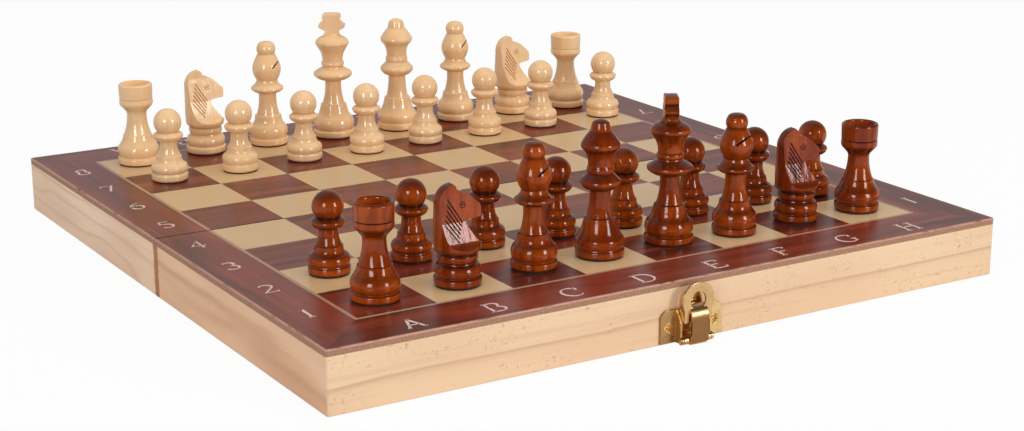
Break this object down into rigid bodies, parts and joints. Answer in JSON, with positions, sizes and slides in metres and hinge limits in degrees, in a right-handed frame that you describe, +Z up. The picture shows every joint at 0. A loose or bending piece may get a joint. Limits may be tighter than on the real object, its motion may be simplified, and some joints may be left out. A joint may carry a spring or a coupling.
{
  "type": "chess box with hinged lid",
  "caption": "Folding wooden chess box lying open as its board, with butt hinges, a brass flip catch and a full set of turned, felted pieces standing on it.",
  "frame": {"origin": "centre of the open board's footprint, on the plane of the rims that it lies on", "axes": "+X along the ranks from file a to file h, +Y along the files from rank 1 and the catch to rank 8 and the keeper, +Z up out of the playing face"},
  "size_m": [0.29, 0.3009, 0.0808],
  "materials": {
    "pine": "planed pine, bare",
    "printed_board": "thin board printed with rosewood and beige squares, satin lacquer",
    "brass": "pressed brass, bright",
    "light_wood": "clear gloss lacquer",
    "stained_wood": "reddish brown stain, gloss lacquer",
    "felt": "dark glued felt"
  },
  "bodies": {
    "front_half": {"front_hinge_screws": "brass", "front_left_rail": "pine", "front_panel": "printed_board", "front_rail": "pine", "front_right_rail": "pine", "front_seam_rail": "pine", "left_hinge_front_leaf": "brass", "right_hinge_front_leaf": "brass", "left_hinge_pin": "brass", "right_hinge_pin": "brass", "catch_plate": "brass", "catch_pin": "brass", "catch_screws": "brass"},
    "back_half": {"back_hinge_screws": "brass", "back_left_rail": "pine", "back_panel": "printed_board", "back_rail": "pine", "back_right_rail": "pine", "back_seam_rail": "pine", "left_hinge_back_leaf": "brass", "right_hinge_back_leaf": "brass", "keeper_plate": "brass", "keeper_screws": "brass"},
    "catch": {"catch_lever": "brass"},
    "brown_bishop_c": {"brown_bishop_c": "stained_wood"},
    "brown_bishop_f": {"brown_bishop_f": "stained_wood"},
    "brown_king": {"brown_king": "stained_wood"},
    "brown_knight_b": {"brown_knight_b": "stained_wood"},
    "brown_knight_g": {"brown_knight_g": "stained_wood"},
    "brown_pawn_a": {"brown_pawn_a": "stained_wood"},
    "brown_pawn_b": {"brown_pawn_b": "stained_wood"},
    "brown_pawn_c": {"brown_pawn_c": "stained_wood"},
    "brown_pawn_d": {"brown_pawn_d": "stained_wood"},
    "brown_pawn_e": {"brown_pawn_e": "stained_wood"},
    "brown_pawn_f": {"brown_pawn_f": "stained_wood"},
    "brown_pawn_g": {"brown_pawn_g": "stained_wood"},
    "brown_pawn_h": {"brown_pawn_h": "stained_wood"},
    "brown_queen": {"brown_queen": "stained_wood"},
    "brown_rook_a": {"brown_rook_a": "stained_wood"},
    "brown_rook_h": {"brown_rook_h": "stained_wood"},
    "white_bishop_c": {"white_bishop_c": "light_wood"},
    "white_bishop_f": {"white_bishop_f": "light_wood"},
    "white_king": {"white_king": "light_wood"},
    "white_knight_b": {"white_knight_b": "light_wood"},
    "white_knight_g": {"white_knight_g": "light_wood"},
    "white_pawn_a": {"white_pawn_a": "light_wood"},
    "white_pawn_b": {"white_pawn_b": "light_wood"},
    "white_pawn_c": {"white_pawn_c": "light_wood"},
    "white_pawn_d": {"white_pawn_d": "light_wood"},
    "white_pawn_e": {"white_pawn_e": "light_wood"},
    "white_pawn_f": {"white_pawn_f": "light_wood"},
    "white_pawn_g": {"white_pawn_g": "light_wood"},
    "white_pawn_h": {"white_pawn_h": "light_wood"},
    "white_queen": {"white_queen": "light_wood"},
    "white_rook_a": {"white_rook_a": "light_wood"},
    "white_rook_h": {"white_rook_h": "light_wood"}
  },
  "joints": [
    {"name": "board_fold", "type": "hinge", "parent": "front_half", "child": "back_half", "pos_m": [0, 0, -0.0001], "axis": [-1, 0, 0], "range_deg": [0, 180]},
    {"name": "catch_flip", "type": "hinge", "parent": "front_half", "child": "catch", "pos_m": [-0.0015, -0.149, 0.0017], "axis": [1, 0, 0], "range_deg": [0, 180]},
    {"name": "lift_brown_bishop_c", "type": "slide", "parent": "front_half", "child": "brown_bishop_c", "axis": [0, 0, 1], "range_m": [0, 0.06]},
    {"name": "lift_brown_bishop_f", "type": "slide", "parent": "front_half", "child": "brown_bishop_f", "axis": [0, 0, 1], "range_m": [0, 0.06]},
    {"name": "lift_brown_king", "type": "slide", "parent": "front_half", "child": "brown_king", "axis": [0, 0, 1], "range_m": [0, 0.06]},
    {"name": "lift_brown_knight_b", "type": "slide", "parent": "front_half", "child": "brown_knight_b", "axis": [0, 0, 1], "range_m": [0, 0.06]},
    {"name": "lift_brown_knight_g", "type": "slide", "parent": "front_half", "child": "brown_knight_g", "axis": [0, 0, 1], "range_m": [0, 0.06]},
    {"name": "lift_brown_pawn_a", "type": "slide", "parent": "front_half", "child": "brown_pawn_a", "axis": [0, 0, 1], "range_m": [0, 0.06]},
    {"name": "lift_brown_pawn_b", "type": "slide", "parent": "front_half", "child": "brown_pawn_b", "axis": [0, 0, 1], "range_m": [0, 0.06]},
    {"name": "lift_brown_pawn_c", "type": "slide", "parent": "front_half", "child": "brown_pawn_c", "axis": [0, 0, 1], "range_m": [0, 0.06]},
    {"name": "lift_brown_pawn_d", "type": "slide", "parent": "front_half", "child": "brown_pawn_d", "axis": [0, 0, 1], "range_m": [0, 0.06]},
    {"name": "lift_brown_pawn_e", "type": "slide", "parent": "front_half", "child": "brown_pawn_e", "axis": [0, 0, 1], "range_m": [0, 0.06]},
    {"name": "lift_brown_pawn_f", "type": "slide", "parent": "front_half", "child": "brown_pawn_f", "axis": [0, 0, 1], "range_m": [0, 0.06]},
    {"name": "lift_brown_pawn_g", "type": "slide", "parent": "front_half", "child": "brown_pawn_g", "axis": [0, 0, 1], "range_m": [0, 0.06]},
    {"name": "lift_brown_pawn_h", "type": "slide", "parent": "front_half", "child": "brown_pawn_h", "axis": [0, 0, 1], "range_m": [0, 0.06]},
    {"name": "lift_brown_queen", "type": "slide", "parent": "front_half", "child": "brown_queen", "axis": [0, 0, 1], "range_m": [0, 0.06]},
    {"name": "lift_brown_rook_a", "type": "slide", "parent": "front_half", "child": "brown_rook_a", "axis": [0, 0, 1], "range_m": [0, 0.06]},
    {"name": "lift_brown_rook_h", "type": "slide", "parent": "front_half", "child": "brown_rook_h", "axis": [0, 0, 1], "range_m": [0, 0.06]},
    {"name": "lift_white_bishop_c", "type": "slide", "parent": "back_half", "child": "white_bishop_c", "axis": [0, 0, 1], "range_m": [0, 0.06]},
    {"name": "lift_white_bishop_f", "type": "slide", "parent": "back_half", "child": "white_bishop_f", "axis": [0, 0, 1], "range_m": [0, 0.06]},
    {"name": "lift_white_king", "type": "slide", "parent": "back_half", "child": "white_king", "axis": [0, 0, 1], "range_m": [0, 0.06]},
    {"name": "lift_white_knight_b", "type": "slide", "parent": "back_half", "child": "white_knight_b", "axis": [0, 0, 1], "range_m": [0, 0.06]},
    {"name": "lift_white_knight_g", "type": "slide", "parent": "back_half", "child": "white_knight_g", "axis": [0, 0, 1], "range_m": [0, 0.06]},
    {"name": "lift_white_pawn_a", "type": "slide", "parent": "back_half", "child": "white_pawn_a", "axis": [0, 0, 1], "range_m": [0, 0.06]},
    {"name": "lift_white_pawn_b", "type": "slide", "parent": "back_half", "child": "white_pawn_b", "axis": [0, 0, 1], "range_m": [0, 0.06]},
    {"name": "lift_white_pawn_c", "type": "slide", "parent": "back_half", "child": "white_pawn_c", "axis": [0, 0, 1], "range_m": [0, 0.06]},
    {"name": "lift_white_pawn_d", "type": "slide", "parent": "back_half", "child": "white_pawn_d", "axis": [0, 0, 1], "range_m": [0, 0.06]},
    {"name": "lift_white_pawn_e", "type": "slide", "parent": "back_half", "child": "white_pawn_e", "axis": [0, 0, 1], "range_m": [0, 0.06]},
    {"name": "lift_white_pawn_f", "type": "slide", "parent": "back_half", "child": "white_pawn_f", "axis": [0, 0, 1], "range_m": [0, 0.06]},
    {"name": "lift_white_pawn_g", "type": "slide", "parent": "back_half", "child": "white_pawn_g", "axis": [0, 0, 1], "range_m": [0, 0.06]},
    {"name": "lift_white_pawn_h", "type": "slide", "parent": "back_half", "child": "white_pawn_h", "axis": [0, 0, 1], "range_m": [0, 0.06]},
    {"name": "lift_white_queen", "type": "slide", "parent": "back_half", "child": "white_queen", "axis": [0, 0, 1], "range_m": [0, 0.06]},
    {"name": "lift_white_rook_a", "type": "slide", "parent": "back_half", "child": "white_rook_a", "axis": [0, 0, 1], "range_m": [0, 0.06]},
    {"name": "lift_white_rook_h", "type": "slide", "parent": "back_half", "child": "white_rook_h", "axis": [0, 0, 1], "range_m": [0, 0.06]}
  ]
}
